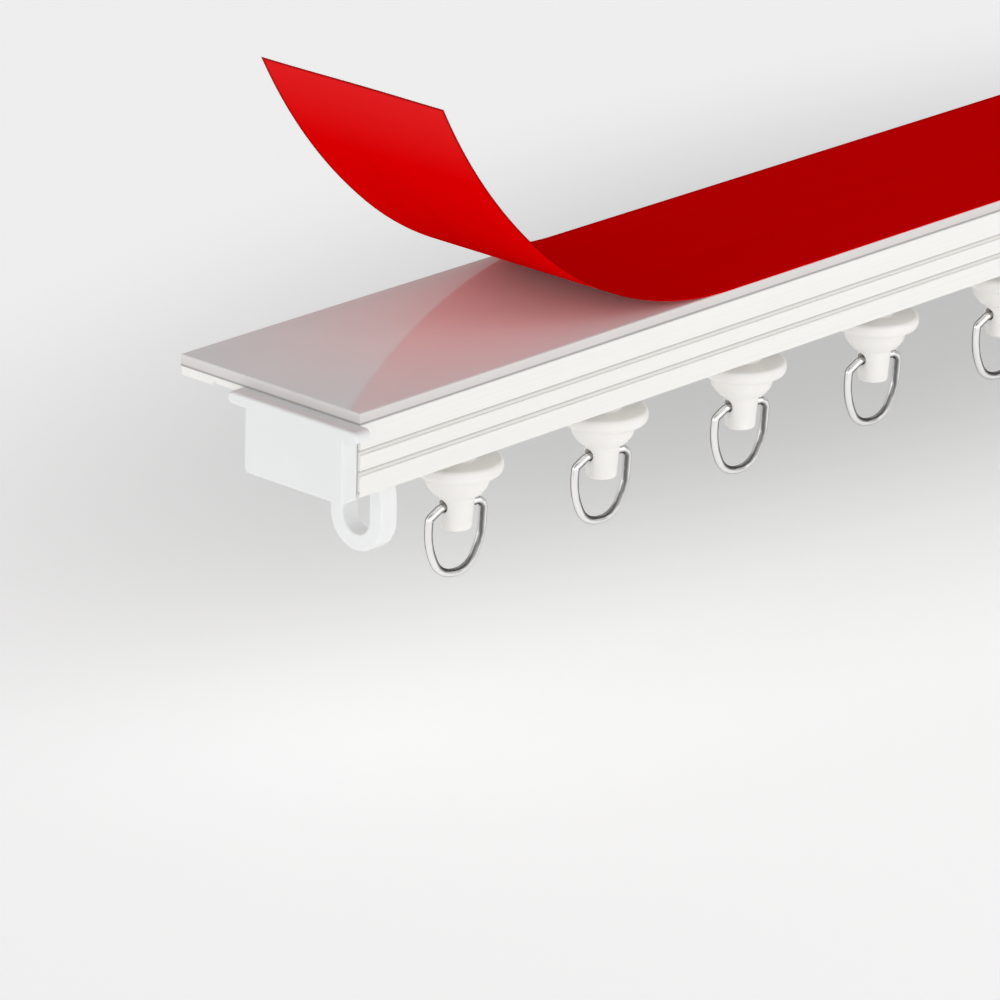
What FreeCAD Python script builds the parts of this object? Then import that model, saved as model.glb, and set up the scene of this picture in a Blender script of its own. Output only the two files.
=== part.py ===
# Stick-on curtain track: a plastic section with a channel and slot, adhesive tape with a peeling
# liner on top, a push-in cap at each end, and gliders that carry a wire ring each.
# Frame: origin at the centre of the adhesive face, +X along the track, +Y from the grooved front wall
# towards the free flange, +Z up, all in millimetres.
import FreeCAD, Part
import math
import os
import re

import Sketcher
from FreeCAD import Placement, Rotation, Vector

# Driving sizes, each written once. Heights are counted down from the adhesive face, and
# glider and ring heights down from the face of the lips.
SIZES = {
    # Section
    "track_length": 318.0,
    "plate_width": 40.0,
    "plate_thickness": 1.2,
    "channel_width": 23.0,
    "channel_depth": 12.25,
    "wall_thickness": 1.5,
    "lip_thickness": 2.6,
    "slot_width": 9.2,
    "rib_height": 1.0,
    "rib_width": 1.2,
    "flange_edge_thickness": 1.6,
    "notch_offset": 7.6,
    "notch_width": 1.2,
    "notch_depth": 0.5,
    "upper_groove_drop": 4.2,
    "lower_groove_drop": 7.7,
    "groove_width": 0.9,
    "groove_depth": 0.4,
    "section_round": 0.4,
    # Tape and liner
    "tape_thickness": 2.0,
    "liner_thickness": 0.2,
    "liner_lift": 88.5,
    "liner_fold_radius": 73.0,
    "liner_fold_angle": 40.0,
    "liner_curl_radius": 100.0,
    "liner_straight": 0.5,
    # End caps
    "cap_thickness": 3.2,
    "strip_height": 2.1,
    "strip_front_overhang": 2.3,
    "strip_back_overhang": 3.3,
    "cap_inset": 0.6,
    "cap_drop": 0.6,
    "cap_round": 0.8,
    "cap_edge_round": 0.5,
    "tongue_clearance": 0.1,
    "tongue_head_width": 14.0,
    "tongue_head_height": 2.2,
    "eye_distance": 11.3,
    "eye_thickness": 3.8,
    "eye_width": 11.4,
    "eye_flare": 4.2,
    "eye_reach": 14.75,
    "eye_wall": 2.8,
    "eye_hole_drop": 3.1,
    "eye_root_drop": 0.6,
    "eye_root_round": 3.0,
    "eye_edge_round": 0.4,
    # Gliders
    "glider_count": 8,
    "first_glider": 35.1,
    "glider_turn": 10.0,
    "running_clearance": 0.1,
    "head_radius": 7.0,
    "head_thickness": 2.0,
    "neck_radius": 3.1,
    "disc_radius": 7.6,
    "disc_drop": 4.8,
    "disc_thickness": 2.4,
    "disc_round": 0.7,
    "bowl_radius": 5.6,
    "bowl_side": 2.1,
    "bowl_height": 3.6,
    "bowl_foot_radius": 4.0,
    "bowl_round": 2.0,
    "stem_top_radius": 3.05,
    "stem_tip_radius": 2.6,
    "stem_drop": 16.9,
    "stem_round": 0.5,
    "hole_radius": 1.1,
    "hole_drop": 12.7,
    # Rings
    "wire_radius": 0.7,
    "wire_clearance": 0.05,
    "ring_width": 11.1,
    "ring_waist": 11.1,
    "ring_waist_drop": 5.9,
    "ring_foot": 5.9,
    "ring_lean": 0.3,
    "ring_height": 11.65,
    "ring_left_width": 5.5,
    "ring_left_drop": 1.4,
    "ring_bend_start": 3.35,
    "ring_bend_radius": 1.0,
    "ring_shoulder_radius": 0.8,
    "ring_corner_radius": 1.4,
    "ring_side_radius": 12.0,
    "ring_foot_radius": 4.2,
}

doc = FreeCAD.newDocument("CurtainTrack")
sheet = doc.addObject("Spreadsheet::Sheet", "Sizes")
for row, (alias, value) in enumerate(SIZES.items(), start=1):
    sheet.set(f"A{row}", alias)
    sheet.set(f"B{row}", repr(value))
    sheet.setAlias(f"B{row}", alias)
doc.recompute()


def bound(text):
    """The expression with each size's name pointing at its cell of the sheet."""
    return re.sub(r"[a-z_]+", lambda word: f"Sizes.{word[0]}" if word[0] in SIZES else word[0], text)


def number(text):
    """The expression's present value."""
    return float(sheet.evalExpression(bound(text)))


# Heights and places that several pieces share, as expressions of the sizes.
PLATE_TOP = "(-tape_thickness)"
PLATE_FOOT = "(-tape_thickness - plate_thickness)"
LIP_FACE = "(-tape_thickness - channel_depth)"
LIP_TOP = f"({LIP_FACE} + lip_thickness)"
RIB_TOP = f"({LIP_TOP} + rib_height)"
FRONT = "(-plate_width / 2)"
BACK = "(plate_width / 2)"
CHANNEL_BACK = f"({FRONT} + channel_width)"
SLOT_MIDDLE = f"({FRONT} + channel_width / 2)"
SLOT_FRONT = f"({SLOT_MIDDLE} - slot_width / 2)"
SLOT_BACK = f"({SLOT_MIDDLE} + slot_width / 2)"


def new_body(label):
    """An empty body whose label names the piece."""
    body = doc.addObject("PartDesign::Body", label)
    body.Label = label
    return body


def new_sketch(body, name, plane, offset=None):
    """A sketch on one of the body's own origin planes, moved off it by an expression if one is given."""
    sketch = body.newObject("Sketcher::SketchObject", f"{body.Label}_{name}")
    support = next(item for item in body.Origin.OriginFeatures if item.Role == plane)
    sketch.AttachmentSupport = [(support, "")]
    sketch.MapMode = "FlatFace"
    if offset:
        sketch.setExpression("AttachmentOffset.Base.z", bound(offset))
    return sketch


def pin(sketch, geometry, end, x_text, y_text):
    """Fixes a point of the sketch at the place that two expressions give."""
    for kind, text in (("DistanceX", x_text), ("DistanceY", y_text)):
        value = number(text)
        index = sketch.addConstraint(Sketcher.Constraint(kind, -1, 1, geometry, end, value))
        sketch.setExpression(f"Constraints[{index}]", bound(text))


def draw(sketch, corners, closed=True):
    """Straight lines from corner to corner, with a tangent arc at each corner that states a radius.

    A corner is (x, y) or (x, y, radius), each an expression.
    """
    points = [Vector(number(corner[0]), number(corner[1]), 0) for corner in corners]
    radii = [number(corner[2]) if len(corner) > 2 else 0.0 for corner in corners]
    count = len(points)
    starts = list(points)
    ends = list(points)
    arcs = {}
    for index in range(count):
        if not radii[index]:
            continue
        here = points[index]
        back = (points[index - 1] - here).normalize()
        ahead = (points[(index + 1) % count] - here).normalize()
        half = back.getAngle(ahead) / 2
        reach = radii[index] / math.tan(half)
        centre = here + (back + ahead).normalize() * (radii[index] / math.sin(half))
        ends[index] = here + back * reach
        starts[index] = here + ahead * reach
        first, last = ends[index], starts[index]
        if (first - centre).cross(last - centre).z < 0:
            first, last = last, first
        angles = [math.atan2(point.y - centre.y, point.x - centre.x) for point in (first, last)]
        circle = Part.Circle(centre, Vector(0, 0, 1), radii[index])
        arcs[index] = (Part.ArcOfCircle(circle, angles[0], angles[1]), first is ends[index])
    spans = count if closed else count - 1
    lines = []
    for index in range(spans):
        segment = Part.LineSegment(starts[index], ends[(index + 1) % count])
        lines.append(sketch.addGeometry(segment, False))
    for index in range(count):
        before = lines[index - 1] if closed or index else None
        after = lines[index] if index < spans else None
        x_text, y_text = corners[index][0], corners[index][1]
        if index not in arcs:
            if before is None:
                pin(sketch, after, 1, x_text, y_text)
            else:
                pin(sketch, before, 2, x_text, y_text)
                if after is not None:
                    sketch.addConstraint(Sketcher.Constraint("Coincident", before, 2, after, 1))
            continue
        arc, forward = arcs[index]
        arc_id = sketch.addGeometry(arc, False)
        arc_in, arc_out = (1, 2) if forward else (2, 1)
        sketch.addConstraint(Sketcher.Constraint("Tangent", before, 2, arc_id, arc_in))
        sketch.addConstraint(Sketcher.Constraint("Tangent", arc_id, arc_out, after, 1))
        radius = sketch.addConstraint(Sketcher.Constraint("Radius", arc_id, radii[index]))
        sketch.setExpression(f"Constraints[{radius}]", bound(corners[index][2]))
        corner_id = sketch.addGeometry(Part.Point(points[index]), True)
        sketch.addConstraint(Sketcher.Constraint("PointOnObject", corner_id, 1, before))
        sketch.addConstraint(Sketcher.Constraint("PointOnObject", corner_id, 1, after))
        pin(sketch, corner_id, 1, x_text, y_text)
    return sketch


def draw_circle(sketch, x_text, y_text, radius_text):
    """A circle whose centre and radius are expressions."""
    centre = Vector(number(x_text), number(y_text), 0)
    circle = sketch.addGeometry(Part.Circle(centre, Vector(0, 0, 1), number(radius_text)), False)
    pin(sketch, circle, 3, x_text, y_text)
    radius = sketch.addConstraint(Sketcher.Constraint("Radius", circle, number(radius_text)))
    sketch.setExpression(f"Constraints[{radius}]", bound(radius_text))
    return sketch


def rectangle(x_low, x_high, y_low, y_high, radius=None):
    """The four corners of an upright rectangle, each rounded if a radius is given."""
    corners = [(x_low, y_low), (x_high, y_low), (x_high, y_high), (x_low, y_high)]
    return [corner + (radius,) for corner in corners] if radius else corners


def pad(body, name, sketch, length, symmetric=False, backwards=False):
    """The sketch's area drawn out along its normal."""
    feature = body.newObject("PartDesign::Pad", f"{body.Label}_{name}")
    feature.Profile = sketch
    feature.SideType = "Symmetric" if symmetric else "One side"
    feature.Reversed = backwards
    feature.setExpression("Length", bound(length))
    doc.recompute()
    return feature


def pocket(body, name, sketch):
    """The sketch's area cut right through the body, both ways."""
    before = body.Shape.Volume
    feature = body.newObject("PartDesign::Pocket", f"{body.Label}_{name}")
    feature.Profile = sketch
    feature.Type = "ThroughAll"
    feature.SideType = "Symmetric"
    doc.recompute()
    assert body.Shape.Volume < before - 1e-3, f"{feature.Name} cuts nothing"
    return feature


def fillet(body, name, wanted, radius):
    """Rounds every edge of the body that the test accepts."""
    base = body.Tip
    edges = [f"Edge{place}" for place, edge in enumerate(base.Shape.Edges, start=1) if wanted(edge.BoundBox)]
    assert edges, f"{body.Label}_{name} finds no edge"
    feature = body.newObject("PartDesign::Fillet", f"{body.Label}_{name}")
    feature.Base = (base, edges)
    feature.setExpression("Radius", bound(radius))
    doc.recompute()
    return feature


def lies_in_plane(box, x_text):
    """Whether an edge with this box lies in the plane across the track at x."""
    x = number(x_text)
    return abs(box.XMin - x) < 1e-3 and abs(box.XMax - x) < 1e-3


def pipe(body, name, section, spine):
    """The section carried along the spine."""
    feature = body.newObject("PartDesign::AdditivePipe", f"{body.Label}_{name}")
    feature.Profile = section
    feature.Spine = spine
    doc.recompute()
    return feature


# The section is one extrusion, drawn in the Y-Z plane and followed once round its outline.
def track_profile():
    groove_lines = []
    for drop in ("upper_groove_drop", "lower_groove_drop"):
        top = f"{PLATE_TOP} - {drop}"
        inner = f"{FRONT} + groove_depth"
        foot = f"{top} - groove_width"
        groove_lines += [(FRONT, top), (inner, top), (inner, foot), (FRONT, foot)]
    notch = f"({BACK} - notch_offset)"
    notch_root = f"({PLATE_FOOT} + notch_depth)"
    flange_foot = f"({PLATE_TOP} - flange_edge_thickness)"
    front_inner = f"({FRONT} + wall_thickness)"
    back_inner = f"({CHANNEL_BACK} - wall_thickness)"
    corners = [(BACK, PLATE_TOP), (FRONT, PLATE_TOP)] + groove_lines
    corners += [
        (FRONT, LIP_FACE, "section_round"),
        (SLOT_FRONT, LIP_FACE),
        (SLOT_FRONT, RIB_TOP),
        (f"{SLOT_FRONT} - rib_width", RIB_TOP),
        (f"{SLOT_FRONT} - rib_width", LIP_TOP),
        (front_inner, LIP_TOP),
        (front_inner, PLATE_FOOT),
        (back_inner, PLATE_FOOT),
        (back_inner, LIP_TOP),
        (f"{SLOT_BACK} + rib_width", LIP_TOP),
        (f"{SLOT_BACK} + rib_width", RIB_TOP),
        (SLOT_BACK, RIB_TOP),
        (SLOT_BACK, LIP_FACE),
        (CHANNEL_BACK, LIP_FACE, "section_round"),
        (CHANNEL_BACK, PLATE_FOOT),
        (f"{notch} - notch_width / 2", PLATE_FOOT),
        (notch, notch_root),
        (f"{notch} + notch_width / 2", flange_foot),
        (BACK, flange_foot),
    ]
    body = new_body("track_profile")
    sketch = draw(new_sketch(body, "section", "YZ_Plane"), corners)
    pad(body, "extrusion", sketch, "track_length", symmetric=True)
    return body


# The tape covers the whole plate.
def adhesive_tape():
    body = new_body("adhesive_tape")
    sketch = new_sketch(body, "section", "YZ_Plane")
    draw(sketch, rectangle(FRONT, BACK, PLATE_TOP, "0"))
    pad(body, "strip", sketch, "track_length", symmetric=True)
    return body


# The liner is a strip of film as long as the track: flat on the tape, then a fold of constant
# radius and a wider curl up to its free end. Its middle surface is followed in the X-Z plane.
def release_liner():
    middle = "liner_thickness / 2"
    lift = "(-track_length / 2 + liner_lift)"
    fold_reach = "(liner_fold_radius * tan(liner_fold_angle / 2))"
    fold_length = "(liner_fold_radius * liner_fold_angle * pi / 180)"
    curl_length = f"(liner_lift - {fold_length} - 2 * liner_straight)"
    curl_angle = f"({curl_length} / liner_curl_radius * 180 / pi)"
    curl_reach = f"(liner_curl_radius * tan({curl_angle} / 2))"
    run = f"({fold_reach} + liner_straight + {curl_reach})"
    tail = f"({curl_reach} + liner_straight)"
    end_angle = f"(liner_fold_angle + {curl_angle})"
    fold_x = f"({lift} - {fold_reach})"
    curl_x = f"({fold_x} - {run} * cos(liner_fold_angle))"
    curl_z = f"({middle} + {run} * sin(liner_fold_angle))"
    route = [
        ("track_length / 2", middle),
        (fold_x, middle, "liner_fold_radius"),
        (curl_x, curl_z, "liner_curl_radius"),
        (f"{curl_x} - {tail} * cos({end_angle})", f"{curl_z} + {tail} * sin({end_angle})"),
    ]
    body = new_body("release_liner")
    spine = draw(new_sketch(body, "route", "XZ_Plane"), route, closed=False)
    section = new_sketch(body, "section", "YZ_Plane", offset="track_length / 2")
    draw(section, rectangle(FRONT, BACK, "0", "liner_thickness"))
    doc.recompute()
    pipe(body, "film", section, spine)
    return body


# Each cap is one moulding. Its outward side is -X on the left cap and +X on the right one.
def end_cap(label, outward):
    end = f"({outward} * track_length / 2)"
    to_outside = outward < 0
    body = new_body(label)

    strip_front = f"({FRONT} - strip_front_overhang)"
    strip_back = f"({CHANNEL_BACK} + strip_back_overhang)"
    strip_foot = f"({PLATE_TOP} - strip_height)"
    strip = new_sketch(body, "strip", "YZ_Plane", offset=end)
    draw(strip, rectangle(strip_front, strip_back, strip_foot, PLATE_TOP, "strip_height * 0.49"))
    pad(body, "strip_pad", strip, "cap_thickness", backwards=to_outside)

    plate_front = f"({FRONT} + cap_inset)"
    plate_back = f"({CHANNEL_BACK} - cap_inset)"
    plate_foot = f"({LIP_FACE} - cap_drop)"
    plate = new_sketch(body, "plate", "YZ_Plane", offset=end)
    plate_top = f"({strip_foot} + strip_height / 2)"
    draw(plate, [
        (plate_front, plate_foot, "cap_round"),
        (plate_back, plate_foot, "cap_round"),
        (plate_back, plate_top),
        (plate_front, plate_top),
    ])
    pad(body, "plate_pad", plate, "cap_thickness", backwards=to_outside)

    # The tongue fills the slot, and its head lies on the ribs, so the cap can't drop out.
    half_slot = "(slot_width / 2 - tongue_clearance)"
    half_head = "(tongue_head_width / 2)"
    head_foot = f"({RIB_TOP} + tongue_clearance)"
    head_top = f"({head_foot} + tongue_head_height)"
    tongue = new_sketch(body, "tongue", "YZ_Plane", offset=end)
    draw(tongue, [
        (f"{SLOT_MIDDLE} - {half_slot}", LIP_FACE),
        (f"{SLOT_MIDDLE} + {half_slot}", LIP_FACE),
        (f"{SLOT_MIDDLE} + {half_slot}", head_foot),
        (f"{SLOT_MIDDLE} + {half_head}", head_foot),
        (f"{SLOT_MIDDLE} + {half_head}", head_top),
        (f"{SLOT_MIDDLE} - {half_head}", head_top),
        (f"{SLOT_MIDDLE} - {half_head}", head_foot),
        (f"{SLOT_MIDDLE} - {half_slot}", head_foot),
    ])
    pad(body, "tongue_pad", tongue, "eye_distance + eye_thickness", backwards=not to_outside)

    # The eye grows out of the tongue, flares to its full width and ends in a half circle.
    half_eye = "(eye_width / 2)"
    eye_foot = f"({LIP_FACE} - eye_reach)"
    eye_start = f"({outward} * (track_length / 2 - eye_distance))"
    eye = new_sketch(body, "eye", "YZ_Plane", offset=eye_start)
    draw(eye, [
        (f"{SLOT_MIDDLE} - {half_slot}", LIP_TOP),
        (f"{SLOT_MIDDLE} - {half_slot}", f"{LIP_FACE} - eye_root_drop", "eye_root_round"),
        (f"{SLOT_MIDDLE} - {half_eye}", f"{LIP_FACE} - eye_flare", "eye_width"),
        (f"{SLOT_MIDDLE} - {half_eye}", eye_foot, "eye_width * 0.499"),
        (f"{SLOT_MIDDLE} + {half_eye}", eye_foot, "eye_width * 0.499"),
        (f"{SLOT_MIDDLE} + {half_eye}", f"{LIP_FACE} - eye_flare", "eye_width"),
        (f"{SLOT_MIDDLE} + {half_slot}", f"{LIP_FACE} - eye_root_drop", "eye_root_round"),
        (f"{SLOT_MIDDLE} + {half_slot}", LIP_TOP),
    ])
    pad(body, "eye_pad", eye, "eye_thickness", backwards=not to_outside)
    half_hole = "(eye_width / 2 - eye_wall)"
    hole_foot = f"({eye_foot} + eye_wall)"
    hole_top = f"({LIP_FACE} - eye_hole_drop)"
    hole = new_sketch(body, "eye_hole", "YZ_Plane", offset=eye_start)
    draw(hole, [
        (f"{SLOT_MIDDLE} - {half_hole}", hole_foot, f"{half_hole} * 0.998"),
        (f"{SLOT_MIDDLE} + {half_hole}", hole_foot, f"{half_hole} * 0.998"),
        (f"{SLOT_MIDDLE} + {half_hole}", hole_top),
        (f"{SLOT_MIDDLE} - {half_hole}", hole_top),
    ])
    pocket(body, "eye_cut", hole)

    # The mould leaves the outer face and the free part of the eye with soft edges.
    outside = f"({outward} * (track_length / 2 + cap_thickness))"
    fillet(body, "face_edges", lambda box: lies_in_plane(box, outside), "cap_edge_round")
    eye_end = f"({outward} * (track_length / 2 - eye_distance - eye_thickness))"
    free_height = number(LIP_FACE) - 1e-3

    def free_eye_edge(box):
        return box.ZMax < free_height and (lies_in_plane(box, eye_start) or lies_in_plane(box, eye_end))

    fillet(body, "eye_edges", free_eye_edge, "eye_edge_round")
    return body


def glider_place(body, number_along):
    """Hangs a body at a glider's place: its own origin lies on the glider's axis, at the lips' face."""
    pitch = "(track_length - 2 * first_glider) / (glider_count - 1)"
    x_text = f"-track_length / 2 + first_glider + {number_along} * {pitch}"
    turn = Rotation(Vector(0, 0, 1), -number("glider_turn"))
    body.Placement = Placement(Vector(number(x_text), number(SLOT_MIDDLE), number(LIP_FACE)), turn)
    body.setExpression("Placement.Base.x", bound(x_text))
    body.setExpression("Placement.Base.y", bound(SLOT_MIDDLE))
    body.setExpression("Placement.Base.z", bound(LIP_FACE))
    body.setExpression("Placement.Rotation.Angle", bound("-glider_turn"))


# A glider is turned about its axis: head, neck, disc, bowl and tapered stem. Heights are
# counted from the face of the lips.
def glider(number_along):
    body = new_body(f"glider_{number_along + 1}")
    head_foot = "(lip_thickness + rib_height + running_clearance)"
    head_top = f"({head_foot} + head_thickness)"
    disc_top = "(-disc_drop)"
    disc_foot = f"({disc_top} - disc_thickness)"
    bowl_foot = f"({disc_foot} - bowl_height)"
    outline = draw(new_sketch(body, "outline", "XZ_Plane"), [
        ("0", head_top),
        ("head_radius", head_top, "disc_round"),
        ("head_radius", head_foot),
        ("neck_radius", head_foot),
        ("neck_radius", disc_top),
        ("disc_radius", disc_top, "disc_round"),
        ("disc_radius", disc_foot, "disc_round * 1.6"),
        ("bowl_radius", disc_foot),
        ("bowl_radius - 0.2 * bowl_side", f"{disc_foot} - bowl_side", "bowl_round"),
        ("bowl_foot_radius", bowl_foot, "stem_round"),
        ("stem_top_radius", bowl_foot),
        ("stem_tip_radius", "-stem_drop", "stem_round"),
        ("0", "-stem_drop"),
    ])
    turning = body.newObject("PartDesign::Revolution", f"{body.Label}_turning")
    turning.Profile = outline
    turning.ReferenceAxis = (outline, ["V_Axis"])
    turning.Angle = 360
    doc.recompute()
    hole = draw_circle(new_sketch(body, "hole", "YZ_Plane"), "0", "-hole_drop", "hole_radius")
    pocket(body, "hole_cut", hole)
    glider_place(body, number_along)
    return body


# A ring is one bent wire. Its straight bar lies in the stem's hole, near the hole's foot, and
# its loop hangs below. The left shoulder slopes down to a tight corner, the right one is round,
# and the loop leans a little to the left.
def ring(number_along):
    bar = "(-hole_drop - hole_radius + wire_radius + wire_clearance)"
    waist = f"({bar} - ring_waist_drop)"
    foot = f"({bar} - ring_height)"
    body = new_body(f"ring_{number_along + 1}")
    spine = draw(new_sketch(body, "route", "XZ_Plane"), [
        ("0", bar),
        ("ring_width / 2", bar, "ring_corner_radius"),
        ("ring_waist / 2 - ring_lean", waist, "ring_side_radius"),
        ("ring_foot / 2 - ring_lean", foot, "ring_foot_radius"),
        ("-ring_foot / 2 - ring_lean", foot, "ring_foot_radius"),
        ("-ring_waist / 2 - ring_lean", waist, "ring_side_radius"),
        ("-ring_left_width", f"{bar} - ring_left_drop", "ring_shoulder_radius"),
        ("-ring_bend_start", bar, "ring_bend_radius"),
    ])
    section = draw_circle(new_sketch(body, "section", "YZ_Plane"), "0", bar, "wire_radius")
    doc.recompute()
    pipe(body, "wire", section, spine)
    glider_place(body, number_along)
    return body


pieces = [track_profile(), adhesive_tape(), release_liner()]
pieces += [end_cap("end_cap_left", -1), end_cap("end_cap_right", 1)]
for along in range(int(number("glider_count"))):
    pieces.append(glider(along))
    pieces.append(ring(along))
doc.recompute()

for item in doc.Objects:
    assert not {"Invalid", "Error"} & set(item.State), f"{item.Name} failed: {item.State}"
for piece in pieces:
    shape = piece.Shape
    assert not shape.isNull() and shape.isValid(), f"{piece.Label} is not a valid shape"
    assert len(shape.Solids) == 1, f"{piece.Label} has {len(shape.Solids)} solids"

os.makedirs("parts", exist_ok=True)
for piece in pieces:
    piece.Shape.exportStep(f"parts/{piece.Label}.step")
    box = piece.Shape.BoundBox
    print(f"{piece.Label}: {piece.Shape.Volume:.1f} mm3, X {box.XMin:.2f} to {box.XMax:.2f},"
          f" Y {box.YMin:.2f} to {box.YMax:.2f}, Z {box.ZMin:.2f} to {box.ZMax:.2f}")
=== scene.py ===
# %% [markdown]
# # A stick-on curtain track
# This lesson dresses a short curtain track for its portrait. A white plastic section carries sliding
# gliders with steel rings, a cap closes each end, and a thick adhesive tape on top waits under its red
# liner, which is already peeled back at one end. The measured solids come in as a fixed frame. Each
# step adds one piece or one finish to it, in metres, at the place where the solids put it.

# %% Load the frame
import math

import bmesh
import bpy
import numpy as np
from mathutils import Matrix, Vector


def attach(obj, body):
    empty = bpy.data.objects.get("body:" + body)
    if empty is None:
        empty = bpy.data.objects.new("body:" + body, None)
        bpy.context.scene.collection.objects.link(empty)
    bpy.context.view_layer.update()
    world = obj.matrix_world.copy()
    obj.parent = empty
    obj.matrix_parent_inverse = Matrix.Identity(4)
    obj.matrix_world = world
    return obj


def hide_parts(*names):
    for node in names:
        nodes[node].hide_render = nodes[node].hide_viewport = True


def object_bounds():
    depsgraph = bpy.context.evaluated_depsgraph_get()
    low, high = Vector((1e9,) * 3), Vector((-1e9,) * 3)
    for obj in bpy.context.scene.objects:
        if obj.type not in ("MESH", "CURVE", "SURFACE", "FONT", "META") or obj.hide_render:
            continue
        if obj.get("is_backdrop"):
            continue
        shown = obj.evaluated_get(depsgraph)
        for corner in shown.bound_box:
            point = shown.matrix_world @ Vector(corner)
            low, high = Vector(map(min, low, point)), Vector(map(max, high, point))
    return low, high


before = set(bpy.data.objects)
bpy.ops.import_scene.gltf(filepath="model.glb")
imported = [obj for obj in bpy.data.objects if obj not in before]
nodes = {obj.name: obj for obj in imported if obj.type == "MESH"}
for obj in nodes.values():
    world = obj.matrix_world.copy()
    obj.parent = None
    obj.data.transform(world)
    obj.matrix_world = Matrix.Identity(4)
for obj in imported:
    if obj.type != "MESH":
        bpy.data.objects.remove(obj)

cad_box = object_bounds()
print(f"{len(nodes)} solids in the frame, {(cad_box[1] - cad_box[0]).x * 1000:.1f} mm long")

# %% [markdown]
# ## Sizes
# The numbers below are the section's own, in millimetres, counted from the adhesive face. They are
# the ones that the solids were made with, so a piece that is worked out from them sits on its
# neighbours without any fitting.

# %% The section's sizes in millimetres
MM = 0.001
HALF_LENGTH = 159.0
HALF_PLATE = 20.0
TAPE = 2.0
PLATE = 1.2
CHANNEL_WIDTH, CHANNEL_DEPTH = 23.0, 12.25
WALL = 1.5
SLOT_WIDTH = 9.2
LIP_THICKNESS = 2.6
RIB_HEIGHT, RIB_WIDTH = 1.0, 1.2

PLATE_TOP = -TAPE
PLATE_FOOT = PLATE_TOP - PLATE
LIP_FACE = PLATE_TOP - CHANNEL_DEPTH
LIP_TOP = LIP_FACE + LIP_THICKNESS
RIB_TOP = LIP_TOP + RIB_HEIGHT
SLOT_MIDDLE = -HALF_PLATE + CHANNEL_WIDTH / 2

GLIDERS = 8
FIRST_GLIDER = 35.1
GLIDER_TURN = math.radians(-10)
glider_places = np.linspace(FIRST_GLIDER - HALF_LENGTH, HALF_LENGTH - FIRST_GLIDER, GLIDERS)
print(f"gliders every {glider_places[1] - glider_places[0]:.1f} mm")

# %% [markdown]
# ## The camera
# The photograph was matched by its vanishing lines: the track's long edges, its width and its height
# each run to a point of their own, and together they give the direction of view, the roll and the
# focal length. The lens is long and stands about a metre away, which is why the far gliders are
# hardly smaller than the near ones. The picture is taken as 1000 by 1000 pixels. The track's near end
# is pinned to the pixel where the photograph shows it, and that fixes the camera's place.

# %% Camera from the matched view
# Pixels, then millimetres for the sensor, metres for the distance and degrees for the three angles.
PICTURE = 1000
FOCAL_PIXELS = 6515.3
SENSOR = 36.0
DISTANCE = 1.03242
azimuth, elevation, roll = np.radians([-47.6722, 20.2551, 1.3031])
near_end = np.array([-HALF_LENGTH, 0, 0]) * MM
near_end_pixel = np.array([269.2808, 383.3308])

backwards = np.array([
    math.sin(azimuth) * math.cos(elevation), -math.cos(azimuth) * math.cos(elevation), math.sin(elevation)])
level_right = np.cross(-backwards, [0, 0, 1])
level_right /= np.linalg.norm(level_right)
level_up = np.cross(level_right, -backwards)
right = math.cos(roll) * level_right + math.sin(roll) * level_up
up = math.cos(roll) * level_up - math.sin(roll) * level_right
off_centre = (near_end_pixel - PICTURE / 2) / FOCAL_PIXELS * DISTANCE
eye = near_end + DISTANCE * backwards - off_centre[0] * right + off_centre[1] * up

camera = bpy.data.objects.new("camera", bpy.data.cameras.new("camera"))
bpy.context.scene.collection.objects.link(camera)
turned = np.eye(4)
turned[:3, :4] = np.column_stack([right, up, backwards, eye])
camera.matrix_world = Matrix(turned.tolist())
camera.data.sensor_width = SENSOR
camera.data.lens = SENSOR * FOCAL_PIXELS / PICTURE
camera.data.clip_start, camera.data.clip_end = 0.05, 60
bpy.context.scene.camera = camera
print(f"camera at {np.round(eye, 3)} m with a {camera.data.lens:.0f} mm lens")

# %% [markdown]
# ## Colours and shader nodes
# Colours are noted as they look on a screen, in sRGB hex, and one function turns them into the linear
# values that the renderer counts with. One more function adds a shader node with its settings and its
# links, so that each finish below reads like a recipe. Most plastics and metals are uneven in a grain
# of their own, which is noise stretched to the right size, so that has a function too.

# %% Helpers for materials
bpy.context.scene.view_settings.view_transform = "Standard"


def linear(hex_colour):
    """sRGB hex to linear: c / 12.92 in the darkest part, ((c + 0.055) / 1.055) to the power 2.4 above."""
    value = np.array([int(hex_colour[start:start + 2], 16) for start in (1, 3, 5)]) / 255
    curved = np.where(value <= 0.04045, value / 12.92, ((value + 0.055) / 1.055) ** 2.4)
    return (*curved.tolist(), 1.0)


def add(tree, kind, sockets, out=None, stops=(), **settings):
    """Adds a node, and returns the output that out names, or the node itself.

    Each socket gets its value, or a link where the value is another node's output. A colour ramp also
    gets its stops, as (position, hex colour).
    """
    made = tree.nodes.new(kind)
    for name, value in settings.items():
        setattr(made, name, value)
    for name, value in sockets.items():
        if isinstance(value, bpy.types.NodeSocket):
            tree.links.new(value, made.inputs[name])
        else:
            made.inputs[name].default_value = value
    for count, (position, hex_colour) in enumerate(stops):
        band = made.color_ramp.elements
        stop = band[count] if count < 2 else band.new(position)
        stop.position = position
        stop.color = linear(hex_colour)
    return made.outputs[out] if out else made


def new_material(name):
    """An empty node material, and its tree."""
    material = bpy.data.materials.new(name)
    material.use_nodes = True
    material.node_tree.nodes.clear()
    return material, material.node_tree


def grain(tree, cells, detail, coordinate="Object"):
    """Noise from 0 to 1 whose grain is so many cells per metre along each axis, or per unit of a UV map."""
    point = add(tree, "ShaderNodeTexCoord", {}, coordinate)
    scaled = add(tree, "ShaderNodeMapping", {"Vector": point, "Scale": cells}, "Vector")
    return add(tree, "ShaderNodeTexNoise", {"Vector": scaled, "Scale": 1.0, "Detail": detail}, "Fac")


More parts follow.
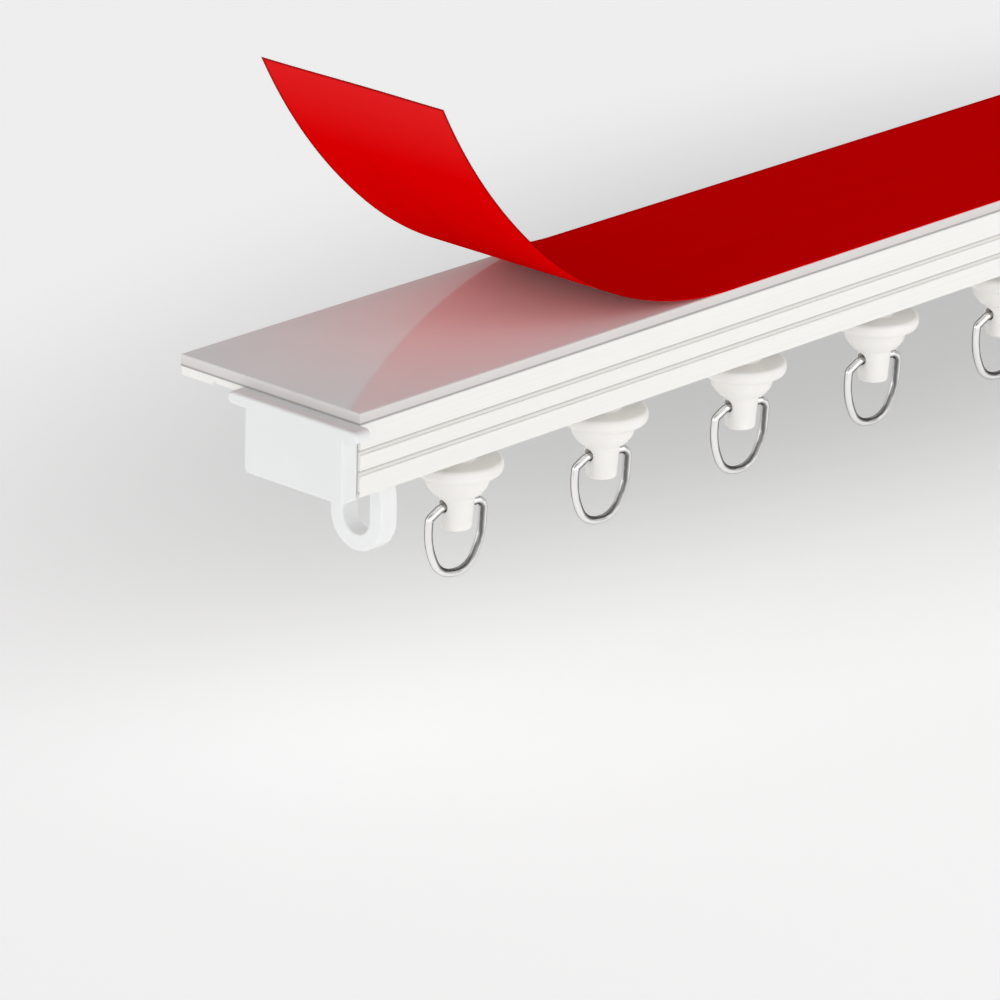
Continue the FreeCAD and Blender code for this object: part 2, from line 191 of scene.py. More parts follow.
print(f"a screen's middle grey, #808080, is {linear('#808080')[0]:.3f} of the light of white")

# %% [markdown]
# ## Rail: extruded PVC
# The section is pushed hot through a steel die, so it is flawless across but carries faint die lines
# along its length. White rigid PVC is slightly warm and has a satin skin. The lines are noise cells
# half a millimetre wide and eighty long, which tint the colour by a hair and lift the surface by a few
# micrometres. Real die lines are finer, and these are drawn as coarse as they need to be to show.
#
# The two shallow grooves in the front wall show a fine grey line of shade under their upper edges. The
# soft light of this scene reaches into them too well for that, so the line is painted shade in the
# plastic's colour. A point's depth behind the front face says whether it lies in a groove, and its drop
# below the upper groove's edge, counted in steps from groove to groove, says how far down the groove it lies.

# %% Finish: extruded PVC
GROOVE_DEPTH, GROOVE_WIDTH = 0.4, 0.9
GROOVE_DROPS = (4.2, 7.7)
GROOVE_PITCH = GROOVE_DROPS[1] - GROOVE_DROPS[0]
BEHIND_GROOVE = 0.1
# Cells per metre: die lines of 83 by 0.45 mm, and patches from handling of 22 by 11 mm.
DIE_LINE_CELLS, HANDLING_CELLS = (12, 2200, 2200), (45, 90, 90)
DIE_LINE_LIFT = 0.02


def painted_groove_shade(tree):
    """How far into a groove a point lies, from 0 to 1, and the painted shade there."""
    point = add(tree, "ShaderNodeTexCoord", {}, "Object")
    axes = add(tree, "ShaderNodeSeparateXYZ", {"Vector": point}).outputs
    face, bottom = -HALF_PLATE * MM, (GROOVE_DEPTH - HALF_PLATE) * MM
    inwards = add(tree, "ShaderNodeMapRange", {
        "Value": axes["Y"], "From Min": face, "From Max": bottom}, "Result")
    on_front = add(tree, "ShaderNodeMath", {
        0: axes["Y"], 1: bottom + BEHIND_GROOVE * MM}, "Value", operation="LESS_THAN")
    hollow = add(tree, "ShaderNodeMath", {0: inwards, 1: on_front}, "Value", operation="MULTIPLY")
    upper_edge = (PLATE_TOP - GROOVE_DROPS[0]) / GROOVE_PITCH
    steps_down = add(tree, "ShaderNodeMath", {
        0: axes["Z"], 1: -1 / (GROOVE_PITCH * MM), 2: upper_edge}, "Value", operation="MULTIPLY_ADD")
    down_groove = add(tree, "ShaderNodeMath", {0: steps_down}, "Value", operation="FRACT")
    # Painted shade: darkest just under a groove's upper edge, white further down.
    tone = add(tree, "ShaderNodeValToRGB", {"Fac": down_groove}, "Color", stops=[
        (0.06, "#C3C3C2"), (0.13, "#E6E6E5"), (0.2, "#F9F9F8"), (0.3, "#FFFFFF")])
    return hollow, tone


def extruded_pvc():
    material, tree = new_material("extruded_pvc")
    die_lines = grain(tree, DIE_LINE_CELLS, 4)
    handling = grain(tree, HANDLING_CELLS, 2)
    plastic = add(tree, "ShaderNodeValToRGB", {"Fac": die_lines}, "Color", stops=[
        (0.3, "#F3F2EE"), (0.7, "#F7F6F2")])
    hollow, tone = painted_groove_shade(tree)
    colour = add(tree, "ShaderNodeMix", {
        "Factor": hollow, "A": plastic, "B": tone}, "Result", data_type="RGBA", blend_type="MULTIPLY")
    satin = add(tree, "ShaderNodeMapRange", {"Value": handling, "To Min": 0.34, "To Max": 0.46}, "Result")
    lift = add(tree, "ShaderNodeBump", {
        "Height": die_lines, "Strength": 0.35, "Distance": DIE_LINE_LIFT * MM}, "Normal")
    skin = add(tree, "ShaderNodeBsdfPrincipled", {
        "Base Color": colour, "Roughness": satin, "IOR": 1.53, "Normal": lift}, "BSDF")
    add(tree, "ShaderNodeOutputMaterial", {"Surface": skin})
    return material


pvc = extruded_pvc()
print(f"{pvc.name}: {len(pvc.node_tree.nodes)} nodes")

# %% [markdown]
# ## Caps: moulded polypropylene
# The caps are shot into a spark-eroded mould, which leaves an even fine grain, and the plastic lets a
# little light in, so they look cooler and softer than the rail. The grain is about 0.15 mm, the flow of
# the plastic leaves patches of 17 mm, and the light that enters travels about half a millimetre.

# %% Finish: moulded polypropylene
SPARK_CELLS, FLOW_CELLS = (6500, 6500, 6500), (60, 60, 60)
SPARK_LIFT = 0.03
CAP_LIGHT_DEPTH = 0.5


def moulded_polypropylene():
    material, tree = new_material("moulded_polypropylene")
    spark_grain = grain(tree, SPARK_CELLS, 2)
    flow = grain(tree, FLOW_CELLS, 3)
    colour = add(tree, "ShaderNodeValToRGB", {"Fac": flow}, "Color", stops=[
        (0.3, "#ECEDED"), (0.7, "#EFF0F0")])
    lift = add(tree, "ShaderNodeBump", {
        "Height": spark_grain, "Strength": 0.3, "Distance": SPARK_LIFT * MM}, "Normal")
    skin = add(tree, "ShaderNodeBsdfPrincipled", {
        "Base Color": colour, "Roughness": 0.42, "IOR": 1.49, "Normal": lift, "Subsurface Weight": 0.15,
        "Subsurface Radius": (1.0, 0.95, 0.9), "Subsurface Scale": CAP_LIGHT_DEPTH * MM}, "BSDF")
    add(tree, "ShaderNodeOutputMaterial", {"Surface": skin})
    return material


polypropylene = moulded_polypropylene()
print(f"{polypropylene.name}: {len(polypropylene.node_tree.nodes)} nodes")

# %% [markdown]
# ## Gliders: acetal
# A glider has to slide dry for years, so it is moulded from acetal or nylon: waxy, a little warmer
# than the rail, and with soft highlights. The mould is polished, so the only texture is a faint
# cloudiness of 4.5 mm cells. Light travels about a millimetre and a half in it.

# %% Finish: moulded acetal
CLOUD_CELLS = (220, 220, 220)
GLIDER_LIGHT_DEPTH = 1.5


def moulded_acetal():
    material, tree = new_material("moulded_acetal")
    clouds = grain(tree, CLOUD_CELLS, 3)
    colour = add(tree, "ShaderNodeValToRGB", {"Fac": clouds}, "Color", stops=[
        (0.3, "#F0EEEA"), (0.7, "#F4F2EF")])
    waxy = add(tree, "ShaderNodeMapRange", {"Value": clouds, "To Min": 0.26, "To Max": 0.36}, "Result")
    skin = add(tree, "ShaderNodeBsdfPrincipled", {
        "Base Color": colour, "Roughness": waxy, "IOR": 1.48, "Subsurface Weight": 0.3,
        "Subsurface Radius": (1.0, 0.93, 0.85), "Subsurface Scale": GLIDER_LIGHT_DEPTH * MM}, "BSDF")
    add(tree, "ShaderNodeOutputMaterial", {"Surface": skin})
    return material


acetal = moulded_acetal()
print(f"{acetal.name}: {len(acetal.node_tree.nodes)} nodes")

# %% [markdown]
# ## Rings: plated drawn wire
# Steel wire is drawn through a die, bent, and nickel plated in a tumbling barrel. It is a bright
# mirror with hair-fine lines along the wire. In a plain studio a mirror has little to show, so the dark
# and bright streaks that a thin polished wire gathers from a real room are in its colour: two dark and
# two bright ones round the wire, by a cosine of the angle, which wander a little along it. The lines
# and streaks follow the wire round its bends, so they read the ring's own UV map, whose first axis
# runs along the wire and whose second runs round it. A grey tint at grazing angles keeps the wire's
# outline dark against a pale floor.

# %% Finish: plated wire
# Cells along and round the whole wire: lines of 4 by 0.11 mm, and a bend of a streak every 5 mm.
DRAWN_LINE_CELLS, WANDER_CELLS = (9, 40, 1), (7, 0, 0)
DRAWN_LINE_LIFT = 0.02
# The first bright streak lies this share of the way round, and wanders by so many radians.
STREAKS_ROUND, STREAK_START, STREAK_WANDER = 2, 0.63, 2.4


def plated_wire():
    material, tree = new_material("plated_wire")
    lines = grain(tree, DRAWN_LINE_CELLS, 3, "UV")
    wander = grain(tree, WANDER_CELLS, 2, "UV")
    point = add(tree, "ShaderNodeTexCoord", {}, "UV")
    round_wire = add(tree, "ShaderNodeSeparateXYZ", {"Vector": point}, "Y")
    turn = STREAKS_ROUND * 2 * math.pi
    start = -STREAK_START * turn - STREAK_WANDER / 2
    drift = add(tree, "ShaderNodeMath", {
        0: wander, 1: STREAK_WANDER, 2: start}, "Value", operation="MULTIPLY_ADD")
    phase = add(tree, "ShaderNodeMath", {0: round_wire, 1: turn, 2: drift}, "Value", operation="MULTIPLY_ADD")
    wave = add(tree, "ShaderNodeMath", {0: phase}, "Value", operation="COSINE")
    streak = add(tree, "ShaderNodeMapRange", {"Value": wave, "From Min": -1.0}, "Result")
    tint = add(tree, "ShaderNodeValToRGB", {"Fac": streak}, "Color", stops=[
        (0.0, "#6A6969"), (0.25, "#A9A8A7"), (0.6, "#F3F2F1")])
    polish = add(tree, "ShaderNodeMapRange", {"Value": lines, "To Min": 0.06, "To Max": 0.16}, "Result")
    lift = add(tree, "ShaderNodeBump", {
        "Height": lines, "Strength": 0.2, "Distance": DRAWN_LINE_LIFT * MM}, "Normal")
    skin = add(tree, "ShaderNodeBsdfPrincipled", {
        "Base Color": tint, "Metallic": 1.0, "Roughness": polish, "Specular Tint": linear("#8C8C8C"),
        "Normal": lift}, "BSDF")
    add(tree, "ShaderNodeOutputMaterial", {"Surface": skin})
    return material


wire = plated_wire()
print(f"{wire.name}: {len(wire.node_tree.nodes)} nodes")

# %% [markdown]
# ## Tape: clear mounting gel
# The tape is a 2 mm slab of clear acrylic gel. Its tacky face is smooth and mirrors the liner that
# hangs over it, softly, because gel is never quite flat. Little light comes from overhead, so a face of
# nearly white gel shows as pale grey. The cut edge is warmer and glows in the light from the side. It
# has a fine darker rim at its top, and at its foot a grey line of painted shade for the shadowed gap
# where it meets the plate. Height above the plate tells them apart, so one colour ramp from the plate
# to the tacky face holds them all.

# %% Finish: clear mounting gel
# Cells per metre: clouds of 33 by 17 mm, and dimples 7 mm across.
GEL_CLOUD_CELLS, DIMPLE_CELLS = (30, 60, 60), (140, 140, 140)
DIMPLE_DEPTH = 0.1


def mounting_gel():
    material, tree = new_material("mounting_gel")
    point = add(tree, "ShaderNodeTexCoord", {}, "Object")
    height = add(tree, "ShaderNodeSeparateXYZ", {"Vector": point}, "Z")
    above_plate = add(tree, "ShaderNodeMapRange", {
        "Value": height, "From Min": -TAPE * MM, "From Max": 0.0}, "Result")
    # The two lowest stops are painted shade for the shadowed gap above the plate.
    layers = add(tree, "ShaderNodeValToRGB", {"Fac": above_plate}, "Color", stops=[
        (0.0, "#A5A2A2"), (0.14, "#B0ADAD"), (0.2, "#DAD6D4"), (0.9, "#E2DEDC"), (0.97, "#CFCBCA"),
        (0.995, "#F1FCFC")])
    clouds = grain(tree, GEL_CLOUD_CELLS, 3)
    mottle = add(tree, "ShaderNodeValToRGB", {"Fac": clouds}, "Color", stops=[
        (0.3, "#FAF9F9"), (0.7, "#FFFFFF")])
    colour = add(tree, "ShaderNodeMix", {
        "Factor": 1.0, "A": layers, "B": mottle}, "Result", data_type="RGBA", blend_type="MULTIPLY")
    dimples = grain(tree, DIMPLE_CELLS, 2)
    lift = add(tree, "ShaderNodeBump", {
        "Height": dimples, "Strength": 0.06, "Distance": DIMPLE_DEPTH * MM}, "Normal")
    skin = add(tree, "ShaderNodeBsdfPrincipled", {
        "Base Color": colour, "Roughness": 0.07, "IOR": 1.47, "Specular IOR Level": 0.38,
        "Normal": lift}, "BSDF")
    add(tree, "ShaderNodeOutputMaterial", {"Surface": skin})
    return material


gel = mounting_gel()
print(f"{gel.name}: {len(gel.node_tree.nodes)} nodes")

# %% [markdown]
# ## Liner: dyed release film
# The liner is blown polyethylene film, dyed through in red, with a silicone wash that leaves it matt.
# Its stretch lines run along the strip. Towards the free end a painted sheen makes it a little paler,
# and where the film stands clear of the tape its cut edges show as thin darker lines.
# Height above the tape says which part has been lifted and how near the free end is. In the
# photograph no highlight shows on the film, so its mirror part is left out.

# %% Finish: red release film
# Cells per metre: stretch lines of 170 by 4 mm.
STRETCH_CELLS = (6, 260, 60)
STRETCH_LIFT = 0.05
CUT_EDGE = 0.6
# Heights above the tape: the free end, where the film comes clear, and the painted sheen's span.
LINER_TOP = 45.95
LIFT_STARTS, LIFT_CLEAR = 1.0, 6.0
SHEEN_STARTS, SHEEN_FULL = 31.0, 46.0


def film_edges(tree, aside, height):
    """1 on the film's cut edges and 0 inside them, from the distance to the track's middle and the height."""
    margin = add(tree, "ShaderNodeMapRange", {
        "Value": aside, "From Min": (HALF_PLATE - CUT_EDGE) * MM, "From Max": HALF_PLATE * MM}, "Result")
    lifted = add(tree, "ShaderNodeMapRange", {
        "Value": height, "From Min": LIFT_STARTS * MM, "From Max": LIFT_CLEAR * MM}, "Result")
    sides = add(tree, "ShaderNodeMath", {0: margin, 1: lifted}, "Value", operation="MULTIPLY")
    tip = add(tree, "ShaderNodeMapRange", {
        "Value": height, "From Min": (LINER_TOP - CUT_EDGE) * MM, "From Max": LINER_TOP * MM}, "Result")
    return add(tree, "ShaderNodeMath", {0: sides, 1: tip}, "Value", operation="MAXIMUM")


def release_film():
    material, tree = new_material("release_film")
    stretch_lines = grain(tree, STRETCH_CELLS, 4)
    dye = add(tree, "ShaderNodeValToRGB", {"Fac": stretch_lines}, "Color", stops=[
        (0.25, "#E20001"), (0.75, "#E80002")])
    point = add(tree, "ShaderNodeTexCoord", {}, "Object")
    axes = add(tree, "ShaderNodeSeparateXYZ", {"Vector": point}).outputs
    aside = add(tree, "ShaderNodeMath", {0: axes["Y"]}, "Value", operation="ABSOLUTE")
    # Painted sheen: towards the free end the dye is mixed with a paler red.
    painted_sheen = add(tree, "ShaderNodeMapRange", {
        "Value": axes["Z"], "From Min": SHEEN_STARTS * MM, "From Max": SHEEN_FULL * MM,
        "To Max": 0.85}, "Result")
    tone = add(tree, "ShaderNodeMix", {
        "Factor": painted_sheen, "A": dye, "B": linear("#E62426")}, "Result", data_type="RGBA")
    edges = film_edges(tree, aside, axes["Z"])
    colour = add(tree, "ShaderNodeMix", {
        "Factor": edges, "A": tone, "B": linear("#8E0405")}, "Result", data_type="RGBA")
    matt = add(tree, "ShaderNodeMapRange", {"Value": stretch_lines, "To Min": 0.28, "To Max": 0.4}, "Result")
    lift = add(tree, "ShaderNodeBump", {
        "Height": stretch_lines, "Strength": 0.15, "Distance": STRETCH_LIFT * MM}, "Normal")
    skin = add(tree, "ShaderNodeBsdfPrincipled", {
        "Base Color": colour, "Roughness": matt, "IOR": 1.5, "Specular IOR Level": 0.0,
        "Normal": lift}, "BSDF")
    add(tree, "ShaderNodeOutputMaterial", {"Surface": skin})
    return material


film = release_film()
print(f"{film.name}: {len(film.node_tree.nodes)} nodes")

# %% [markdown]
# ## Outlines with rounded corners
# Every new piece is a grid of points: a profile that is carried along a line, round an axis or round a
# bent wire. No moulded, sawn or bent corner is quite sharp, so a profile is noted as its corners with a
# radius each, and one helper turns them all into arcs at once.

# %% Round the corners of an outline
SAME_POINT = 1e-9


def rounded(corners, steps, wraps=True):
    """Outline points from rows of (x, y, radius).

    A corner with half angle h becomes an arc whose ends lie radius / tan(h) from the corner, and whose
    centre lies radius / sin(h) along the bisector. The arc turns through 180 degrees less 2 h.
    """
    corners = np.array(corners, float)
    point, radius = corners[:, :2], corners[:, 2]
    back = np.roll(point, 1, 0) - point
    ahead = np.roll(point, -1, 0) - point
    if not wraps:
        back[0], ahead[-1] = -ahead[0], -back[-1]
    back /= np.linalg.norm(back, axis=1)[:, None]
    ahead /= np.linalg.norm(ahead, axis=1)[:, None]
    half = np.arccos(np.clip((back * ahead).sum(1), -1, 1)) / 2
    side = np.sign(back[:, 1] * ahead[:, 0] - back[:, 0] * ahead[:, 1])
    middle = np.where(side[:, None] == 0, 0, back + ahead)
    middle /= np.maximum(np.linalg.norm(middle, axis=1), SAME_POINT)[:, None]
    centre = point + middle * (radius / np.sin(half))[:, None]
    start = point + back * (radius / np.tan(half))[:, None] - centre
    angle = (side * (np.pi - 2 * half))[:, None] * np.linspace(0, 1, steps + 1)
    turn_x = start[:, :1] * np.cos(angle) - start[:, 1:] * np.sin(angle)
    turn_y = start[:, :1] * np.sin(angle) + start[:, 1:] * np.cos(angle)
    line = (np.stack([turn_x, turn_y], 2) + centre[:, None]).reshape(-1, 2)
    apart = np.linalg.norm(line - np.roll(line, 1, 0), axis=1) > SAME_POINT
    apart[0] = apart[0] or not wraps
    return line[apart]


print(f"a rounded square: {len(rounded([(0, 0, 1), (4, 0, 1), (4, 4, 1), (0, 4, 1)], steps=4))} points")

# %% [markdown]
# ## Meshes from grids of points
# Neighbouring points of a grid make quads, and the grid closes on itself where the piece does. Where
# points fall together, as on the axis of a turned piece, they are merged, and then all faces are turned
# outwards. Smooth shading hides the facets, except on edges past a given angle.

# %% Helpers for meshes
MERGE = 0.001


def grid_mesh(name, points, wrap_rows=False, wrap_columns=False, lids=False, uv=None):
    """A mesh of quads from points in rows and columns, in millimetres.

    Quad (r, c) joins the points (r, c), (r, c + 1), (r + 1, c + 1) and (r + 1, c). Lids close the first
    and last row with one face each. A UV map gives each row and each column the step that uv says.
    """
    rows, columns = points.shape[:2]
    index = np.arange(rows * columns).reshape(rows, columns)
    r = np.arange(rows if wrap_rows else rows - 1)
    c = np.arange(columns if wrap_columns else columns - 1)
    r_next, c_next = (r + 1) % rows, (c + 1) % columns
    round_quad = (r, c), (r, c_next), (r_next, c_next), (r_next, c)
    faces = np.stack([index[np.ix_(row, column)] for row, column in round_quad], 2).reshape(-1, 4).tolist()
    if lids:
        faces += [index[0, ::-1].tolist(), index[-1].tolist()]
    mesh = bpy.data.meshes.new(name)
    mesh.from_pydata((points.reshape(-1, 3) * MM).tolist(), [], faces)
    if uv is not None:
        layer = mesh.uv_layers.new(name="UVMap")
        cell = np.stack(np.meshgrid(r, c, indexing="ij"), 2).reshape(-1, 1, 2)
        spread = (cell + np.array([[0, 0], [0, 1], [1, 1], [1, 0]])) * np.array(uv)
        layer.data.foreach_set("uv", spread.reshape(-1).astype(np.float32))
    return mesh


def tidy(mesh, sharp_degrees):
    """Merges doubled points, turns the faces outwards, and shades all but the sharp edges smooth.

    Shading directions that came with a mesh are dropped first, because they would hide its sharp edges.
    """
    if "custom_normal" in mesh.attributes:
        mesh.attributes.remove(mesh.attributes["custom_normal"])
    shape = bmesh.new()
    shape.from_mesh(mesh)
    bmesh.ops.remove_doubles(shape, verts=shape.verts, dist=MERGE * MM)
    bmesh.ops.recalc_face_normals(shape, faces=shape.faces)
    shape.to_mesh(mesh)
    shape.free()
    mesh.shade_smooth()
    mesh.set_sharp_from_angle(angle=math.radians(sharp_degrees))
    return mesh


print(f"points closer than {MERGE} mm become one")

# %% [markdown]
# ## Pieces in the scene
# A finished mesh becomes a piece: it gets its finish, rides on the track, a glider or a ring, and stands
# in for one of the solids. Beside a narrow rounding a wide flat face would look swollen, because smooth
# shading averages over the edge, so a modifier gives the wide face its say.

# %% Helpers for pieces
def place(name, mesh, material, body, node):
    """Puts a finished mesh in the scene as the piece that stands for a node, and says what it rides on."""
    mesh.materials.clear()
    mesh.materials.append(material)
    piece = bpy.data.objects.new(name, mesh)
    bpy.context.scene.collection.objects.link(piece)
    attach(piece, body)
    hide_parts(node)
    return piece


def flatten_shading(piece):
    """Keeps wide flat faces flat in the shading, so that only the roundings beside them bend the light."""
    even = piece.modifiers.new("even", "WEIGHTED_NORMAL")
    even.keep_sharp = True
    even.weight = 100


print("solids to stand in for:", ", ".join(sorted(nodes)))

# %% [markdown]
# ## The rail
# The rail is its section carried straight along X. A die can't cut a perfectly sharp corner, so each
# corner gets a small radius, and these thin roundings catch the light as the fine bright lines that
# make a plastic edge look real. The rail is sawn a quarter of a millimetre short of each cap, and the
# dark joint there tells the two mouldings apart.

# %% Build the rail
EDGE = 0.22
GROOVE_EDGE = 0.1
LIP_CORNER = 0.4
FLANGE_EDGE = 1.6
NOTCH_FROM_BACK, NOTCH_HALF, NOTCH_DEPTH = 7.6, 0.6, 0.5
CAP_GAP = 0.25


def rail_outline():
    """The section's corners as (y, z, radius), followed once round from the flange's upper edge."""
    front, back, channel_back = -HALF_PLATE, HALF_PLATE, CHANNEL_WIDTH - HALF_PLATE
    slot_front, slot_back = SLOT_MIDDLE - SLOT_WIDTH / 2, SLOT_MIDDLE + SLOT_WIDTH / 2
    notch, flange_foot = back - NOTCH_FROM_BACK, PLATE_TOP - FLANGE_EDGE
    line = [(back, PLATE_TOP, EDGE), (front, PLATE_TOP, EDGE)]
    for drop in GROOVE_DROPS:
        top, inside = PLATE_TOP - drop, front + GROOVE_DEPTH
        line += [
            (front, top, GROOVE_EDGE), (inside, top, GROOVE_EDGE),
            (inside, top - GROOVE_WIDTH, GROOVE_EDGE), (front, top - GROOVE_WIDTH, GROOVE_EDGE)]
    line += [
        (front, LIP_FACE, LIP_CORNER), (slot_front, LIP_FACE, EDGE), (slot_front, RIB_TOP, EDGE),
        (slot_front - RIB_WIDTH, RIB_TOP, EDGE), (slot_front - RIB_WIDTH, LIP_TOP, EDGE),
        (front + WALL, LIP_TOP, EDGE), (front + WALL, PLATE_FOOT, EDGE),
        (channel_back - WALL, PLATE_FOOT, EDGE), (channel_back - WALL, LIP_TOP, EDGE),
        (slot_back + RIB_WIDTH, LIP_TOP, EDGE), (slot_back + RIB_WIDTH, RIB_TOP, EDGE),
        (slot_back, RIB_TOP, EDGE), (slot_back, LIP_FACE, EDGE), (channel_back, LIP_FACE, LIP_CORNER),
        (channel_back, PLATE_FOOT, EDGE), (notch - NOTCH_HALF, PLATE_FOOT, GROOVE_EDGE),
        (notch, PLATE_FOOT + NOTCH_DEPTH, GROOVE_EDGE), (notch + NOTCH_HALF, flange_foot, GROOVE_EDGE),
        (back, flange_foot, EDGE)]
    return rounded(line, steps=4)


def carried(outline, stations):
    """A section's (y, z) points at each station along X, as a grid of stations by points."""
    points = np.empty((len(stations), len(outline), 3))
    points[..., 0] = stations[:, None]
    points[..., 1:] = outline
    return points


outline = rail_outline()
rail_points = carried(outline, np.array([-1, 1]) * (HALF_LENGTH - CAP_GAP))
rail_mesh = tidy(grid_mesh("rail", rail_points, wrap_columns=True, lids=True), sharp_degrees=30)
rail = place("rail", rail_mesh, pvc, "track", "track_profile")
flatten_shading(rail)
print(f"rail: {len(outline)} points round the section")

# %% [markdown]
# ## The tape
# The slab of gel is cut with a knife and pressed on by hand, so its long edges waver by a few
# hundredths of a millimetre and its corners are soft. A rounded rectangle is carried along X, and two
# slow waves, one within the other, draw its sides in.

# %% Build the tape
TAPE_TOP_EDGE, TAPE_FOOT_EDGE = 0.2, 0.12
TAPE_STATIONS = 160
WAVER, SHORT_WAVE, LONG_WAVE = 0.05, 17, 41

tape_section = rounded([
    (HALF_PLATE, 0, TAPE_TOP_EDGE), (-HALF_PLATE, 0, TAPE_TOP_EDGE),
    (-HALF_PLATE, -TAPE, TAPE_FOOT_EDGE), (HALF_PLATE, -TAPE, TAPE_FOOT_EDGE)], steps=5)
stations = np.linspace(-HALF_LENGTH, HALF_LENGTH, TAPE_STATIONS)
drawn_in = WAVER * (np.sin(stations / SHORT_WAVE) * np.sin(stations / LONG_WAVE + 1) - 1)
tape_points = carried(tape_section, stations)
tape_points[..., 1] += drawn_in[:, None] * np.sign(tape_section[:, 0])
tape_mesh = tidy(grid_mesh("tape", tape_points, wrap_columns=True, lids=True), sharp_degrees=50)
tape = place("tape", tape_mesh, gel, "track", "adhesive_tape")
flatten_shading(tape)
print(f"tape: sides drawn in by up to {-drawn_in.min():.2f} mm")

# %% [markdown]
# ## The liner
# The liner is one strip of film, as long and as wide as the tape. It lies flat on most of the tape,
# lifts in a fold of steady radius, and runs out in a wider curl. Film keeps its length, so the shape
# comes from its bend: the running sum of the bend is the film's slope, and the running sum of the
# slope's cosine and sine is its place. A faint ripple across the curl keeps it from looking like sheet
# metal.

# %% Build the liner
LIFTED = 88.5
LINER_MIDDLE = 0.05
FILM = 0.07
FOLD_RADIUS, FOLD_ANGLE = 73.0, math.radians(40)
CURL_RADIUS, STRAIGHT = 100.0, 0.5
RIPPLE, RIPPLE_ACROSS, RIPPLE_ALONG, RIPPLE_TWIST, RIPPLE_GROWTH = 0.05, 5.2, 13, 2.2, 1.5
FLAT_ROWS, LIFTED_ROWS, FILM_COLUMNS, FINE_STEPS = 60, 120, 49, 4001


def liner_middle(spots):
    """Place and slope of the film at distances from the lift line towards its free end.

    Bend is 1 / radius in the fold and in the curl, and none before, between or at the very end. Each
    small step moves along by the cosine and up by the sine of the slope, the mean of its two ends.
    """
    fold_end = FOLD_RADIUS * FOLD_ANGLE
    fine = np.linspace(0, LIFTED, FINE_STEPS)
    step = fine[1] - fine[0]
    in_curl = (fine > fold_end + STRAIGHT) & (fine < LIFTED - STRAIGHT)
    bend = np.where(in_curl, 1 / CURL_RADIUS, np.where(fine < fold_end, 1 / FOLD_RADIUS, 0))
    slope = np.cumsum(bend) * step
    along = np.concatenate([[0], np.cumsum((np.cos(slope[1:]) + np.cos(slope[:-1])) / 2)]) * step
    rise = np.concatenate([[0], np.cumsum((np.sin(slope[1:]) + np.sin(slope[:-1])) / 2)]) * step
    return [np.interp(spots, fine, values) for values in (along, rise, slope)]


lift_line = LIFTED - HALF_LENGTH
flat_part = np.linspace(HALF_LENGTH, lift_line, FLAT_ROWS)[:-1]
spots = np.linspace(0, LIFTED, LIFTED_ROWS)
along, rise, slope = liner_middle(spots)
across = np.linspace(-HALF_PLATE, HALF_PLATE, FILM_COLUMNS)
free = (spots / LIFTED)[:, None]
waves = np.sin(across / RIPPLE_ACROSS + RIPPLE_TWIST * free) * np.cos(spots[:, None] / RIPPLE_ALONG)
ripple = RIPPLE * free ** RIPPLE_GROWTH * waves
flat_rows = len(flat_part)
film_points = np.empty((flat_rows + len(spots), len(across), 3))
film_points[..., 1] = across
film_points[:flat_rows, :, 0] = flat_part[:, None]
film_points[:flat_rows, :, 2] = LINER_MIDDLE
film_points[flat_rows:, :, 0] = (lift_line - along)[:, None] + ripple * np.sin(slope)[:, None]
film_points[flat_rows:, :, 2] = (LINER_MIDDLE + rise)[:, None] + ripple * np.cos(slope)[:, None]
liner_mesh = grid_mesh("liner", film_points)
liner_mesh.shade_smooth()
liner = place("liner", liner_mesh, film, "track", "release_liner")
thickness = liner.modifiers.new("thickness", "SOLIDIFY")
thickness.thickness, thickness.offset = FILM * MM, 0
print(f"liner: free end {rise[-1]:.1f} mm above the tape, sloping {math.degrees(slope[-1]):.0f} degrees")

# %% [markdown]
# ## The gliders
# A glider is turned in shape: a head that runs inside the channel, a neck through the slot, a broad
# disc below it, a bowl under the disc and a tapering stem. One profile is spun round the glider's
# axis. The cross hole for the ring is drilled with a Boolean, once, and all eight gliders are copies
# of that one. Heights are counted from the face of the lips.

# %% Build the gliders
RUNNING_CLEARANCE = 0.1
HEAD_RADIUS, HEAD_THICKNESS, HEAD_EDGE = 7.0, 2.0, 0.7
HEAD_FOOT = LIP_THICKNESS + RIB_HEIGHT + RUNNING_CLEARANCE
NECK, NECK_FILLET = 3.1, 0.3
DISC_RADIUS, DISC_THICKNESS, DISC_TOP_EDGE, DISC_FOOT_EDGE = 7.6, 2.4, 0.7, 1.12
DISC_TOP = -4.8
DISC_FOOT = DISC_TOP - DISC_THICKNESS
BOWL_TOP_RADIUS, BOWL_SIDE_RADIUS, BOWL_FOOT_RADIUS = 5.6, 5.18, 4.0
BOWL_SIDE_DROP, BOWL_DROP, BOWL_BELLY, BOWL_EDGE = 2.1, 3.6, 2.0, 0.5
BOWL_SIDE, BOWL_FOOT = DISC_FOOT - BOWL_SIDE_DROP, DISC_FOOT - BOWL_DROP
STEM_TOP_RADIUS, STEM_TIP_RADIUS, STEM_EDGE = 3.05, 2.6, 0.5
STEM_TIP = -16.9
INNER_CORNER = 0.15
HOLE_DROP, HOLE_RADIUS, DRILL_REACH = 12.7, 1.1, 6.0
GLIDER_SIDES, DRILL_SIDES = 96, 48


